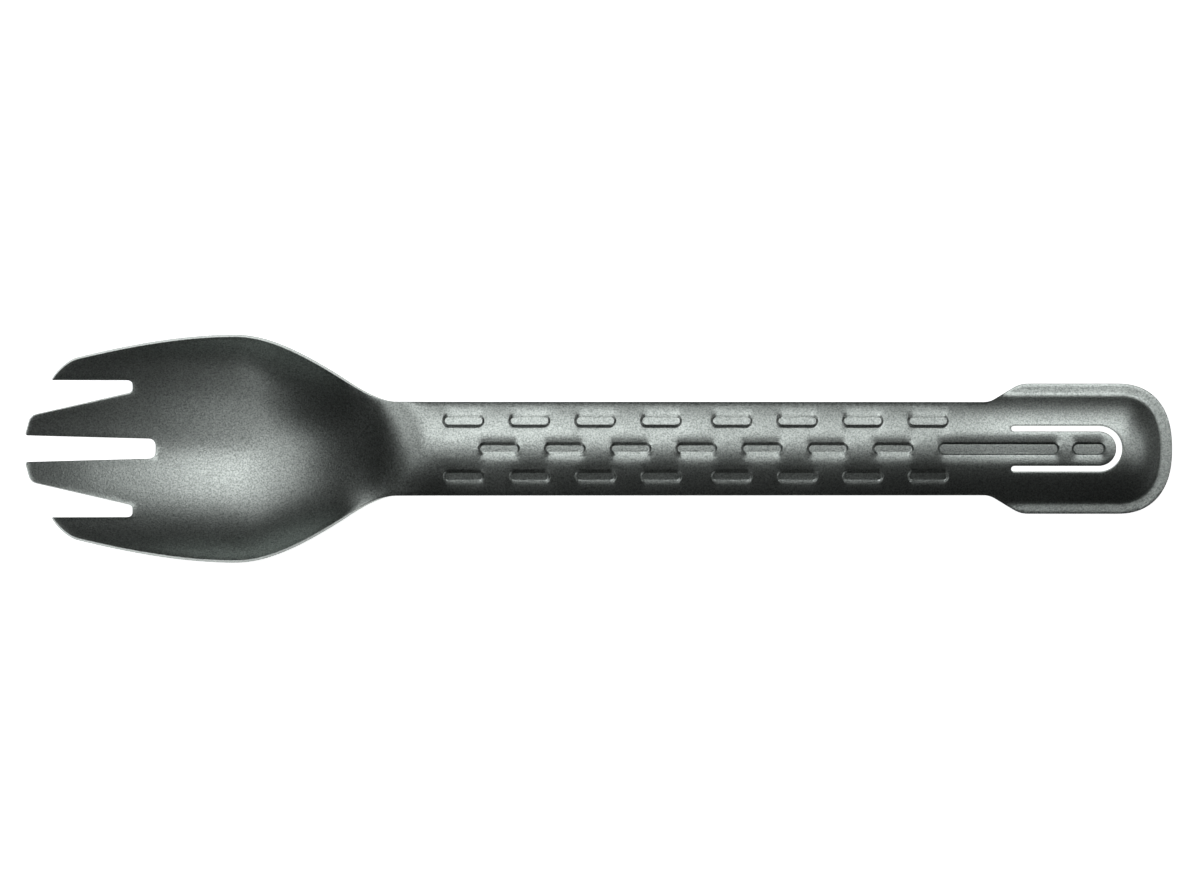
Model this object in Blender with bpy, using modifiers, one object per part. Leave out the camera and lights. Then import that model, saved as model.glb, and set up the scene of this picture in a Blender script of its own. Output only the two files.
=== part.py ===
"""Camp fork with a clip tail: one pressed sheet body and the sprung tongue that is cut free in it.

The real fork is blanked from flat sheet, pierced, pressed to shape and blasted, and this script works in
the same order. X runs from the tine tips to the tail, Z is up out of the bowl and Y = 0 is the plane of
symmetry. The fork lies on Z = 0, on the bottom of its bowl and on the flat brim of its tail.
"""

import math

import bpy
import numpy as np
from mathutils import Vector
from mathutils.geometry import delaunay_2d_cdt, interpolate_bezier

MM = 0.001

# Sheet metal
SHEET = 1.0 * MM                 # thickness of the sheet

# Bowl and neck, placed along X from the tine tips
BOWL_LENGTH = 67.2 * MM          # tine tips to where the handle's edges run parallel
BOWL_WIDTH = 39.9 * MM           # across the inner edge of the rim, at its widest
BOWL_WIDEST = 37.8 * MM          # tine tips to the widest place
BOWL_DEEPEST = 39.0 * MM         # tine tips to the lowest place
BOWL_RADIUS = 27.0 * MM          # hollow across the bowl
HEEL_RADIUS = 20.0 * MM          # hollow across the heel of the bowl, before the neck
HEEL_START = 57.0 * MM           # tine tips to the heel, where the hollow starts to turn into the arch
TAPER_PLACE = 56.2 * MM          # tine tips to the middle of the taper between bowl and handle
TAPER_WIDTH = 25.6 * MM          # width there
TAPER_SLOPE = 0.61               # how fast each edge closes in there
NECK_RAMP = 3.7 * MM             # steepest place of the neck, this far before the handle
NECK_TOP = 6.5 * MM              # the neck reaches the handle's crest this far along the handle
NECK_RISE = 11.5 * MM            # crest of the handle at the neck above the bottom of the bowl
TINE_RISE = 8.0 * MM             # tine tips above the bottom of the bowl

# Tines and the slots between them
MIDDLE_SLOT_LENGTH = 23.1 * MM
MIDDLE_SLOT_WIDTH = 3.5 * MM     # at the closed end
MIDDLE_SLOT_MOUTH = 4.7 * MM
MIDDLE_SLOT_RADIUS = 1.4 * MM
SIDE_SLOT_LENGTH = 19.1 * MM
SIDE_SLOT_WIDTH = 2.2 * MM       # at the closed end
SIDE_SLOT_RADIUS = 0.9 * MM
OUTER_TINE_EDGE = 12.2 * MM      # inner edge of an outer tine, from the plane of symmetry
OUTER_TINE_SETBACK = 4.9 * MM    # tips of the outer tines behind those of the inner ones
OUTER_TIP_SLOPE = 1.9            # how fast an outer tine's outer edge widens at its tip
TINE_SHOULDER = 4.6 * MM         # an outer tip to the shoulder where that edge turns along the bowl
TINE_SHOULDER_WIDTH = 32.0 * MM  # across both shoulders
TINE_SHOULDER_SLOPE = 0.24       # how fast each edge still widens there
INNER_TINE_EDGE = 5.9 * MM       # outer edge of an inner tine at its tip, from the plane of symmetry
INNER_TINE_SLANT = 1.0 * MM      # how far that corner lies behind the tip
TIP_RADIUS = 2.0 * MM            # round of the inner tines' outer corners
TIP_BREAK = 0.3 * MM             # round of the other tip corners

# Handle
HANDLE_LENGTH = 107.3 * MM
HANDLE_WIDTH = 17.05 * MM
HANDLE_RADIUS = 23.0 * MM        # arch across the handle

# Tail
SHOULDER_LENGTH = 5.0 * MM       # slanted edge from the handle out to the tail
SHOULDER_ROUND = 6.0 * MM        # round where it leaves the handle
TAIL_CORNER = 4.5 * MM           # round where it meets the tail
TAIL_LENGTH = 28.3 * MM          # end of that slant to the end of the fork
TAIL_WIDTH = 23.7 * MM
TAIL_ROUND = 10.1 * MM           # length of the rounded end
TAIL_FULLNESS = 2.35             # 2 would make that end half an ellipse; above 2 it is squarer
TAIL_RISE = 2.4 * MM             # crest of the tail above its brim
BRIM_WIDTH = 2.1 * MM            # outer edge to the foot of the arch
BRIM_FILLET = 0.5 * MM           # height over which the arch runs out into the brim
ARCH_BLEND = 14.0 * MM           # length over which the handle's arch takes on the tail's form
BEND_LENGTH = 12.0 * MM          # length of the bend between handle and tail

# Clip tongue
TONGUE_LENGTH = 18.5 * MM        # root to tip
TONGUE_WIDTH = 6.3 * MM
TONGUE_SLOT = 1.12 * MM          # width of the slot round the tongue
TONGUE_SETBACK = 9.2 * MM        # outer edge of that slot from the end of the fork
ROOT_GAP = 0.3 * MM              # clearance at the root, where the tongue flexes

# Pressed marks: grip dashes, the rib that runs onto the tongue and the detent
MARK_FLOOR = 0.65 * MM           # half width of the flat floor
MARK_EDGE = 1.05 * MM            # half width at the crisp edge
MARK_SOFT = 2.40 * MM            # half width where the soft roll-off ends
EDGE_SHARE = 0.4                 # share of the depth that is left at the crisp edge
DASH_LENGTH = 7.6 * MM
DASH_DEPTH = 0.30 * MM
DASH_PITCH = 11.9 * MM
ROW_PITCH = 5.04 * MM            # middle row to an outer row
OUTER_ROW_OFFSET = 6.4 * MM      # first dashes of an outer row, from the middle of the marks
MARKS_MIDDLE = 54.0 * MM         # start of the handle to the middle of the marks
DASH_MARGIN = 5.0 * MM           # least distance from a dash to the end of the handle
RIB_DEPTH = 0.40 * MM
RIB_ON_TONGUE = 8.2 * MM         # how far the rib runs past the tongue's root
DETENT_LENGTH = 6.0 * MM
DETENT_DEPTH = 0.40 * MM
DETENT_SETBACK = 2.1 * MM        # end of the detent from the tip of the tongue

# Facets of the blank
BOWL_STEP = 2.3 * MM
HANDLE_STEP = 2.6 * MM
TAIL_STEP = 1.4 * MM
EDGE_STEP = 2.4 * MM             # longest straight stretch along a cut edge
POINT_CLEARANCE = 0.6            # share of a step that free points keep clear of drawn lines
ARC_STEPS = 4                    # straight stretches in the arc of a rounded corner
TAIL_ARC_STEPS = 10              # straight stretches in each quarter of the rounded tail
CURVE_POINTS = 8                 # points on each curved stretch of the bowl's edge
WELD = 0.001 * MM

# Anodised, blasted aluminium
METAL_COLOUR = (0.33, 0.36, 0.34, 1.0)
METAL_ROUGHNESS = 0.33

# Places along X that follow from the sizes above
SHOULDER_X = BOWL_LENGTH + HANDLE_LENGTH
TAIL_X = SHOULDER_X + SHOULDER_LENGTH
END_X = TAIL_X + TAIL_LENGTH
ROUND_X = END_X - TAIL_ROUND
MARKS_X = BOWL_LENGTH + MARKS_MIDDLE
TONGUE_TIP_X = END_X - TONGUE_SETBACK - TONGUE_SLOT
ROOT_X = TONGUE_TIP_X - TONGUE_LENGTH
BRIM_FOOT = TAIL_WIDTH / 2 - BRIM_WIDTH
BRIM_FLAT = BRIM_FOOT * math.sqrt((TAIL_RISE + BRIM_FILLET) / TAIL_RISE)


def clear_scene():
    for item in list(bpy.data.objects):
        bpy.data.objects.remove(item, do_unlink=True)


def make_collection(name):
    group = bpy.data.collections.new(name)
    bpy.context.scene.collection.children.link(group)
    return group


def make_metal():
    metal = bpy.data.materials.new("anodised_aluminium")
    metal.use_nodes = True
    shader = metal.node_tree.nodes["Principled BSDF"]
    shader.inputs["Base Color"].default_value = METAL_COLOUR
    shader.inputs["Metallic"].default_value = 1.0
    shader.inputs["Roughness"].default_value = METAL_ROUGHNESS
    return metal


def arc(centre, radii, start, end, steps, fullness=2):
    """Points of an arc between two angles in degrees: an ellipse's, or a fuller curve's above 2."""
    points = []
    for i in range(steps + 1):
        angle = math.radians(start + (end - start) * i / steps)
        along = math.copysign(abs(math.cos(angle)) ** (2 / fullness), math.cos(angle))
        across = math.copysign(abs(math.sin(angle)) ** (2 / fullness), math.sin(angle))
        points.append((centre[0] + radii[0] * along, centre[1] + radii[1] * across))
    return points


def tail_arc(shrink):
    """A quarter of the tail's rounded end, shrunk towards its spine."""
    radii = (TAIL_ROUND * shrink, TAIL_WIDTH / 2 * shrink)
    return arc((ROUND_X, 0), radii, 90, 0, TAIL_ARC_STEPS, TAIL_FULLNESS)


def rounded(corners):
    """The open path through (x, y, radius) corners, each rounded as far as its two sides allow."""
    places = [Vector(corner[:2]) for corner in corners]
    path = [tuple(places[0])]
    for before, here, after, corner in zip(places, places[1:], places[2:], corners[1:]):
        back = before - here
        ahead = after - here
        half_angle = back.angle(ahead) / 2
        reach = min(corner[2] / math.tan(half_angle), back.length / 2, ahead.length / 2)
        enter = here + back.normalized() * reach
        leave = here + ahead.normalized() * reach
        for i in range(ARC_STEPS + 1):
            share = i / ARC_STEPS
            path.append(tuple(enter.lerp(here, share).lerp(here.lerp(leave, share), share)))
    path.append(tuple(places[-1]))
    return path


def stretch(start, start_slope, start_share, end, end_slope, end_share):
    """Points of a Bezier stretch without its last one, its handles a share of its run along X."""
    run = end[0] - start[0]
    start_handle = (start[0] + run * start_share, start[1] + run * start_share * start_slope)
    end_handle = (end[0] - run * end_share, end[1] - run * end_share * end_slope)
    knots = [Vector(place).to_3d() for place in (start, start_handle, end_handle, end)]
    return [tuple(point[:2]) for point in interpolate_bezier(*knots, CURVE_POINTS)[:-1]]


def tine_edge():
    """Half of the front edge: middle slot, inner tine, side slot and the tip of the outer tine."""
    return rounded([
        (MIDDLE_SLOT_LENGTH, 0, 0),
        (MIDDLE_SLOT_LENGTH, MIDDLE_SLOT_WIDTH / 2, MIDDLE_SLOT_RADIUS),
        (0, MIDDLE_SLOT_MOUTH / 2, TIP_BREAK),
        (INNER_TINE_SLANT, INNER_TINE_EDGE, TIP_RADIUS),
        (SIDE_SLOT_LENGTH, OUTER_TINE_EDGE - SIDE_SLOT_WIDTH, SIDE_SLOT_RADIUS),
        (SIDE_SLOT_LENGTH, OUTER_TINE_EDGE, SIDE_SLOT_RADIUS),
        (OUTER_TINE_SETBACK, OUTER_TINE_EDGE, 0),
    ])


def bowl_edge():
    """Half of the bowl's edge, from an outer tip round the widest place and down the neck's taper."""
    tip = (OUTER_TINE_SETBACK, OUTER_TINE_EDGE)
    shoulder = (OUTER_TINE_SETBACK + TINE_SHOULDER, TINE_SHOULDER_WIDTH / 2)
    widest = (BOWL_WIDEST, BOWL_WIDTH / 2)
    taper = (TAPER_PLACE, TAPER_WIDTH / 2)
    neck = (BOWL_LENGTH, HANDLE_WIDTH / 2)
    return [
        *stretch(tip, OUTER_TIP_SLOPE, 0.17, shoulder, TINE_SHOULDER_SLOPE, 0.33),
        *stretch(shoulder, TINE_SHOULDER_SLOPE, 0.33, widest, 0, 0.33),
        *stretch(widest, 0, 0.24, taper, -TAPER_SLOPE, 0.48),
        *stretch(taper, -TAPER_SLOPE, 0.45, neck, 0, 0.30),
    ]


def tail_edge():
    """Half of the handle's and the tail's edge, from the neck to the middle of the rounded end."""
    side = rounded([
        (BOWL_LENGTH, HANDLE_WIDTH / 2, 0),
        (SHOULDER_X, HANDLE_WIDTH / 2, SHOULDER_ROUND),
        (TAIL_X, TAIL_WIDTH / 2, TAIL_CORNER),
        (ROUND_X, TAIL_WIDTH / 2, 0),
    ])
    return side[:-1] + tail_arc(1)


def refined(path):
    """The path with every stretch longer than EDGE_STEP divided evenly."""
    points = []
    for start, end in zip(path, path[1:]):
        count = max(1, math.ceil(math.dist(start, end) / EDGE_STEP))
        for i in range(count):
            points.append(tuple(Vector(start).lerp(Vector(end), i / count)))
    return points + [path[-1]]


def mirrored(half):
    """The closed path of a half that starts and ends on the plane of symmetry."""
    path = refined(half)
    return path + [(x, -y) for x, y in reversed(path[:-1])]


def tongue_half(start_x):
    """Half of the tongue's edge, from its root line to its round tip."""
    half = TONGUE_WIDTH / 2
    centre = (TONGUE_TIP_X - half, 0)
    return [(start_x, 0), (start_x, half), *arc(centre, (half, half), 90, 0, 2 * ARC_STEPS)]


def window_half():
    """Half of the opening that the tongue lies in, with the round end of the slot beside the root."""
    inner = TONGUE_WIDTH / 2
    outer = inner + TONGUE_SLOT
    end_radius = TONGUE_SLOT / 2
    slot_end = arc((ROOT_X, inner + end_radius), (end_radius, end_radius), 270, 90, ARC_STEPS)
    tip = arc((TONGUE_TIP_X - inner, 0), (outer, outer), 90, 0, 2 * ARC_STEPS)
    return [(ROOT_X, 0), *slot_end, *tip]


def brim_line(reach):
    """A line of equal height round the tail, this far out from its spine at the sides."""
    path = refined([(TAIL_X, reach), *tail_arc(reach / (TAIL_WIDTH / 2))])
    return path + [(x, -y) for x, y in reversed(path[:-1])]


def dash_marks():
    """The grip dashes of the three rows, as (first centre, last centre, y, depth)."""
    half = DASH_LENGTH / 2 - MARK_EDGE
    room = HANDLE_LENGTH / 2 - DASH_MARGIN - DASH_LENGTH / 2
    middle_count = int(room / DASH_PITCH)
    outer_count = int((room - OUTER_ROW_OFFSET) / DASH_PITCH) + 1
    places = [(k * DASH_PITCH, 0) for k in range(-middle_count, middle_count + 1)]
    for k in range(outer_count):
        for side in (-1, 1):
            along = side * (OUTER_ROW_OFFSET + k * DASH_PITCH)
            places += [(along, ROW_PITCH), (along, -ROW_PITCH)]
    return [(MARKS_X + x - half, MARKS_X + x + half, y, DASH_DEPTH) for x, y in places]


def tongue_marks():
    """The rib that runs from the handle onto the tongue, and the detent near the tongue's tip."""
    room = HANDLE_LENGTH / 2 - DASH_MARGIN - DASH_LENGTH / 2
    next_dash = (int(room / DASH_PITCH) + 1) * DASH_PITCH - DASH_LENGTH / 2
    detent_end = TONGUE_TIP_X - DETENT_SETBACK - MARK_EDGE
    rib = (MARKS_X + next_dash + MARK_EDGE, ROOT_X + RIB_ON_TONGUE - MARK_EDGE, 0, RIB_DEPTH)
    detent = (detent_end - DETENT_LENGTH + 2 * MARK_EDGE, detent_end, 0, DETENT_DEPTH)
    return [rib, detent]


def mark_line(mark, radius):
    """The closed line at one distance round a mark's centre line."""
    first, last, y, _ = mark
    near = arc((first, y), (radius, radius), 90, 270, 2 * ARC_STEPS - 2)
    far = arc((last, y), (radius, radius), -90, 90, 2 * ARC_STEPS - 2)
    return refined(near + far + near[:1])


def mark_depth(mark, x, y):
    """How far the sheet is pressed down by a mark: a floor, a crisp wall and a soft roll-off."""
    first, last, centre_y, depth = mark
    distance = math.hypot(x - min(max(x, first), last), y - centre_y)
    return depth * float(np.interp(distance, (MARK_FLOOR, MARK_EDGE, MARK_SOFT), (1, EDGE_SHARE, 0)))


def crest_stations():
    """The line along the middle as (x, height, slope); between stations the slope changes evenly."""
    neck_x = BOWL_LENGTH + NECK_TOP
    ramp_x = BOWL_LENGTH - NECK_RAMP
    fall = (TAIL_RISE - NECK_RISE) / (SHOULDER_X - neck_x)
    ramp = (2 * NECK_RISE - fall * (neck_x - ramp_x)) / (neck_x - BOWL_DEEPEST)
    tail_height = SHEET + TAIL_RISE
    return [
        (0, SHEET + TINE_RISE, -2 * TINE_RISE / BOWL_DEEPEST),
        (BOWL_DEEPEST, SHEET, 0),
        (ramp_x, SHEET + ramp * (ramp_x - BOWL_DEEPEST) / 2, ramp),
        (neck_x, SHEET + NECK_RISE, fall),
        (SHOULDER_X - BEND_LENGTH / 2, tail_height - fall * BEND_LENGTH / 2, fall),
        (SHOULDER_X + BEND_LENGTH / 2, tail_height, 0),
        (END_X, tail_height, 0),
    ]


def crest(x, stations):
    for (x0, z0, slope0), (x1, _, slope1) in zip(stations, stations[1:]):
        if x <= x1:
            along = x - x0
            return z0 + slope0 * along + (slope1 - slope0) / (x1 - x0) * along * along / 2
    return stations[-1][1]


def ease(start, end, x):
    """0 before start, 1 after end and a smooth change between."""
    share = min(max((x - start) / (end - start), 0), 1)
    return share * share * (3 - 2 * share)


def section_curvature(x):
    """Curvature across the sheet: hollow in the bowl, arched in the handle."""
    heel = ease(BOWL_WIDEST, HEEL_START, x)
    handle = ease(HEEL_START, BOWL_LENGTH + NECK_TOP, x)
    hollow = 1 / BOWL_RADIUS + heel * (1 / HEEL_RADIUS - 1 / BOWL_RADIUS)
    return hollow + handle * (-1 / HANDLE_RADIUS - hollow)


def arc_rise(curvature, y):
    """Height of a circular section above its middle."""
    return curvature * y * y / (1 + math.sqrt(max(0, 1 - (curvature * y) ** 2)))


def tail_height(crest_height, x, y):
    """The tail's form: an arch that closes round the end and runs out into a flat brim."""
    beyond = max(x - ROUND_X, 0) * (TAIL_WIDTH / 2) / TAIL_ROUND
    reach = (beyond ** TAIL_FULLNESS + abs(y) ** TAIL_FULLNESS) ** (1 / TAIL_FULLNESS)
    arch = crest_height - TAIL_RISE * (reach / BRIM_FOOT) ** 2
    overlap = max(BRIM_FILLET - abs(arch - SHEET), 0)
    return max(arch, SHEET) + overlap * overlap / (4 * BRIM_FILLET)


def pressed_height(x, y, stations, marks):
    """Height of the sheet's upper face at a place of the blank."""
    crest_height = crest(x, stations)
    open_height = crest_height + arc_rise(section_curvature(x), y)
    closed_share = ease(SHOULDER_X - ARCH_BLEND, SHOULDER_X, x)
    closed_height = tail_height(crest_height, x, y)
    height = open_height + closed_share * (closed_height - open_height)
    return height - max(mark_depth(mark, x, y) for mark in marks)


def inside(point, path):
    """True if a closed path surrounds the point, found by counting the edges to its right."""
    x, y = point
    crossings = 0
    for (ax, ay), (bx, by) in zip(path, path[1:]):
        if (ay > y) != (by > y) and x < ax + (y - ay) * (bx - ax) / (by - ay):
            crossings += 1
    return crossings % 2 == 1


def free_points(start, end, half_width, step, paths):
    """Staggered points over a stretch of the blank that keep clear of the drawn lines."""
    first = np.array([point for path in paths for point in path[:-1]])
    along = np.array([point for path in paths for point in path[1:]]) - first
    length_squared = np.maximum((along ** 2).sum(axis=1), WELD ** 2)
    row_step = step * math.sqrt(3) / 2
    count = math.ceil(half_width / step)
    points = []
    for row in range(int((end - start) / row_step)):
        shift = 0.5 * (row % 2)
        for column in range(-count, count + 1):
            point = np.array((start + (row + 0.5) * row_step, (column + shift) * step))
            share = np.clip(((point - first) * along).sum(axis=1) / length_squared, 0, 1)
            gaps = np.linalg.norm(point - first - along * share[:, None], axis=1)
            if gaps.min() > POINT_CLEARANCE * step:
                points.append(tuple(point))
    return points


def flat_blank(edge, holes, lines, stretches):
    """Triangles of the flat sheet inside its edge and outside its holes, with the lines drawn on it."""
    paths = [edge, *holes, *lines]
    places = []
    links = []
    for path in paths:
        links += [(len(places) + i, len(places) + i + 1) for i in range(len(path) - 1)]
        places += path
    for start, end, half_width, step in stretches:
        places += free_points(start, end, half_width, step, paths)
    places = [Vector(place) for place in places]
    points, _, faces, _, _, _ = delaunay_2d_cdt(places, links, [], 0, WELD)
    kept = []
    for face in faces:
        middle = sum((points[i] for i in face), Vector((0, 0))) / len(face)
        if inside(middle, edge) and not any(inside(middle, hole) for hole in holes):
            kept.append(face)
    used = sorted({i for face in kept for i in face})
    place_of = {old: new for new, old in enumerate(used)}
    return [points[i] for i in used], [[place_of[i] for i in face] for face in kept]


def pressed_piece(name, blank, marks, origin, group, metal):
    """Presses a flat blank to shape and gives it the sheet's thickness, with its origin at a place."""
    stations = crest_stations()
    points, faces = blank
    raised = [Vector((x, y, pressed_height(x, y, stations, marks))) - origin for x, y in points]
    mesh = bpy.data.meshes.new(name)
    mesh.from_pydata(raised, [], faces)
    mesh.shade_smooth()
    mesh.set_sharp_from_angle(angle=math.radians(40))
    mesh.materials.append(metal)
    piece = bpy.data.objects.new(name, mesh)
    piece.location = origin
    group.objects.link(piece)
    wall = piece.modifiers.new("sheet", "SOLIDIFY")
    wall.thickness = SHEET
    wall.offset = -1
    wall.use_even_offset = True
    return piece


def make_fork_body(group, metal):
    """Bowl, tines, handle and tail, with the opening for the tongue."""
    edge = mirrored(tine_edge()[:-1] + bowl_edge() + tail_edge())
    window = mirrored(window_half())
    marks = dash_marks() + tongue_marks()
    lines = [mark_line(mark, r) for mark in marks for r in (MARK_FLOOR, MARK_EDGE, MARK_SOFT)]
    lines += [brim_line(reach) for reach in (BRIM_FOOT - BRIM_FILLET, BRIM_FOOT, BRIM_FLAT)]
    stretches = [
        (0, BOWL_LENGTH, BOWL_WIDTH / 2, BOWL_STEP),
        (BOWL_LENGTH, SHOULDER_X, HANDLE_WIDTH / 2, HANDLE_STEP),
        (SHOULDER_X, END_X, TAIL_WIDTH / 2, TAIL_STEP),
    ]
    blank = flat_blank(edge, [window], lines, stretches)
    return pressed_piece("fork_body", blank, marks, Vector((0, 0, 0)), group, metal)


def make_spring_tongue(group, metal):
    """The tongue, with its origin on the line across its root about which it flexes."""
    marks = tongue_marks()
    edge = mirrored(tongue_half(ROOT_X + ROOT_GAP))
    lines = [mark_line(mark, r) for mark in marks for r in (MARK_FLOOR, MARK_EDGE, MARK_SOFT)]
    stretches = [(ROOT_X, TONGUE_TIP_X, TONGUE_WIDTH / 2, TAIL_STEP)]
    blank = flat_blank(edge, [], lines, stretches)
    flex_x = ROOT_X + ROOT_GAP / 2
    flex_line = Vector((flex_x, 0, crest(flex_x, crest_stations()) - SHEET / 2))
    return pressed_piece("spring_tongue", blank, marks, flex_line, group, metal)


def centre_on_length(pieces, group):
    """Hangs the pieces on an empty, so that X = 0 is the middle of the fork's whole length."""
    graph = bpy.context.evaluated_depsgraph_get()
    reach = []
    for piece in pieces:
        shape = piece.evaluated_get(graph)
        reach += [(shape.matrix_world @ vertex.co).x for vertex in shape.data.vertices]
    frame = bpy.data.objects.new("fork_frame", None)
    frame.location.x = -(min(reach) + max(reach)) / 2
    group.objects.link(frame)
    for piece in pieces:
        piece.parent = frame


def main():
    clear_scene()
    group = make_collection("camp_fork")
    metal = make_metal()
    pieces = [make_fork_body(group, metal), make_spring_tongue(group, metal)]
    centre_on_length(pieces, group)
    bpy.context.view_layer.update()


main()
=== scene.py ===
# %% [markdown]
# # A camping fork with a clip tail
#
# The whole fork is one sheet of aluminium. It is cut flat, pierced, pressed to shape, blasted with
# fine beads and anodised dark grey. This notebook works in the same order: first the flat blank,
# then the press, then the finish, and last the white table and the light of the photograph.

import math

import bpy
import numpy as np
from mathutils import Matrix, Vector, kdtree
from mathutils.geometry import delaunay_2d_cdt, interpolate_bezier


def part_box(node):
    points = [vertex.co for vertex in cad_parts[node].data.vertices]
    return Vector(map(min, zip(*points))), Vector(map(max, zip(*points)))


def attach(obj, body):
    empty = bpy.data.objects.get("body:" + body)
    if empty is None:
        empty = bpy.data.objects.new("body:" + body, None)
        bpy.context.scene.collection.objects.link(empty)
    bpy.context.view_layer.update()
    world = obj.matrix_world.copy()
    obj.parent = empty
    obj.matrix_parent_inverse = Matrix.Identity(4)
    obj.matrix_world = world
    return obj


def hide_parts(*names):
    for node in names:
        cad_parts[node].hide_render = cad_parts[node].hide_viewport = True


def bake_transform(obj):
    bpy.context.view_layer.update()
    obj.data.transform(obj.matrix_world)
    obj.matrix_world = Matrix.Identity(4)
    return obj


MM = 0.001
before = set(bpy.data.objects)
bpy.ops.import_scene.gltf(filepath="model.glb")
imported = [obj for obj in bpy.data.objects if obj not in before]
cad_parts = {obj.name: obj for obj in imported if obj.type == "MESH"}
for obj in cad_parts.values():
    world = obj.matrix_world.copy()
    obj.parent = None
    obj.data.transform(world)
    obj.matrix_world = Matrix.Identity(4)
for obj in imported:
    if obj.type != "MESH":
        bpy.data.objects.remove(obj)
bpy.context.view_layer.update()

# %% [markdown]
# ## The outline of the blank
#
# A blanking tool shears the outline out of the sheet in one stroke. All places are measured along
# the fork from the tips of its inner tines. Three kinds of path are enough: arcs, straight lines
# with rounded corners, and free curves.

# %% Name the sizes and the kinds of path
SHEET = 1.0 * MM
BOWL_LENGTH, BOWL_WIDTH, BOWL_WIDEST = 67.2 * MM, 39.9 * MM, 37.8 * MM
HANDLE_LENGTH, HANDLE_WIDTH = 107.3 * MM, 17.05 * MM
TAIL_LENGTH, TAIL_WIDTH, TAIL_ROUND, TAIL_FULLNESS = 27.6 * MM, 23.7 * MM, 10.1 * MM, 2.35
SHOULDER_LENGTH, SHOULDER_RADIUS, CORNER_RADIUS = 5.7 * MM, 4.0 * MM, 5.0 * MM
MIDDLE_GAP_END, SIDE_GAP_END = 23.1 * MM, 19.1 * MM
SHOULDER_X = BOWL_LENGTH + HANDLE_LENGTH
TAIL_X = SHOULDER_X + SHOULDER_LENGTH
END_X = TAIL_X + TAIL_LENGTH
ROUND_X = END_X - TAIL_ROUND
ARC_STEPS, CURVE_STEPS = 8, 60


def arc(centre, radii, start, end, steps, fullness=2):
    """Points of an elliptical arc between two angles in degrees.

    A fullness above 2 swells the arc towards a rectangle.
    """
    angles = np.radians(np.linspace(start, end, steps + 1))
    turns = np.stack([np.cos(angles), np.sin(angles)], axis=1)
    turns = np.sign(turns) * np.abs(turns) ** (2 / fullness)
    return [tuple(point) for point in np.array(centre) + turns * radii]


def rounded(corners):
    """The open path through (x, y, radius) corners."""
    places = [Vector(corner[:2]) for corner in corners]
    path = [tuple(places[0])]
    for before, here, after, corner in zip(places, places[1:], places[2:], corners[1:]):
        back, ahead = before - here, after - here
        reach = corner[2] / math.tan(back.angle(ahead) / 2)
        enter, leave = here + back.normalized() * reach, here + ahead.normalized() * reach
        for share in np.linspace(0, 1, ARC_STEPS + 1):
            path.append(tuple(enter.lerp(here, share).lerp(here.lerp(leave, share), share)))
    return path + [tuple(places[-1])]


def stretch(start, start_slope, start_share, end, end_slope, end_share):
    """A Bezier stretch without its last point, its handles a share of its run along X."""
    run = end[0] - start[0]
    start_handle = (start[0] + run * start_share, start[1] + run * start_share * start_slope)
    end_handle = (end[0] - run * end_share, end[1] - run * end_share * end_slope)
    knots = [Vector(place).to_3d() for place in (start, start_handle, end_handle, end)]
    return [tuple(point[:2]) for point in interpolate_bezier(*knots, CURVE_STEPS)[:-1]]


print(f"blank: {END_X / MM:.1f} mm long in {SHEET / MM:.1f} mm sheet")

# %% [markdown]
# The bowl's edge has no corners, so it is drawn with curves that meet at four stations. The tines
# have straight sides with small rounds where the tool would otherwise wear. Only one half is drawn,
# because the other half is its mirror image.

# %% Draw half of the outline
tip = (4.9 * MM, 12.2 * MM)
shoulder = (9.5 * MM, 16.0 * MM)
widest = (BOWL_WIDEST, BOWL_WIDTH / 2)
taper = (56.2 * MM, 12.8 * MM)
neck = (BOWL_LENGTH, HANDLE_WIDTH / 2)
# The corners of one and a half tines, each with the radius of its round.
tines = rounded([
    (MIDDLE_GAP_END, 0, 0),
    (MIDDLE_GAP_END, 1.75 * MM, 1.4 * MM),
    (0, 2.35 * MM, 0.4 * MM),
    (1.0 * MM, 5.9 * MM, 2.0 * MM),
    (SIDE_GAP_END, 10.0 * MM, 0.9 * MM),
    (SIDE_GAP_END, 12.2 * MM, 1.0 * MM),
    (*tip, 0),
])
bowl = [
    *stretch(tip, 1.9, 0.17, shoulder, 0.24, 0.33),
    *stretch(shoulder, 0.24, 0.33, widest, 0, 0.33),
    *stretch(widest, 0, 0.24, taper, -0.61, 0.48),
    *stretch(taper, -0.61, 0.45, neck, 0, 0.30),
]
tail = rounded([
    (*neck, 0),
    (SHOULDER_X, HANDLE_WIDTH / 2, SHOULDER_RADIUS),
    (TAIL_X, TAIL_WIDTH / 2, CORNER_RADIUS),
    (ROUND_X, TAIL_WIDTH / 2, 0),
])
tail_radii = (TAIL_ROUND, TAIL_WIDTH / 2)
tail = tail[:-1] + arc((ROUND_X, 0), tail_radii, 90, 0, CURVE_STEPS, TAIL_FULLNESS)
print(f"half outline: {len(tines) + len(bowl) + len(tail)} points")

# %% [markdown]
# ## The slot that frees the tongue
#
# A narrow U-shaped slot is pierced through the tail. The strip inside it stays joined at its root,
# so it can spring: it is the tongue that snaps onto a second arm. A punch can't be much narrower
# than the sheet is thick, and that is why the slot is about one millimetre wide in a sheet of one
# millimetre.

# %% Draw the slot
TONGUE_WIDTH, TONGUE_LENGTH, SLOT = 6.3 * MM, 18.5 * MM, 1.12 * MM
TONGUE_TO_END = 9.2 * MM
TONGUE_TIP_X = END_X - TONGUE_TO_END - SLOT
ROOT_X = TONGUE_TIP_X - TONGUE_LENGTH
EDGE_STEP, TONGUE_STEPS, SLOT_STEPS = 0.4 * MM, 30, 40


def even_steps(path, step):
    """The path with every longer stretch divided evenly, as an array."""
    points = []
    for start, end in zip(path, path[1:]):
        count = max(1, math.ceil(math.dist(start, end) / step))
        points += [Vector(start).lerp(Vector(end), i / count) for i in range(count)]
    return np.array([*points, path[-1]])


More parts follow.
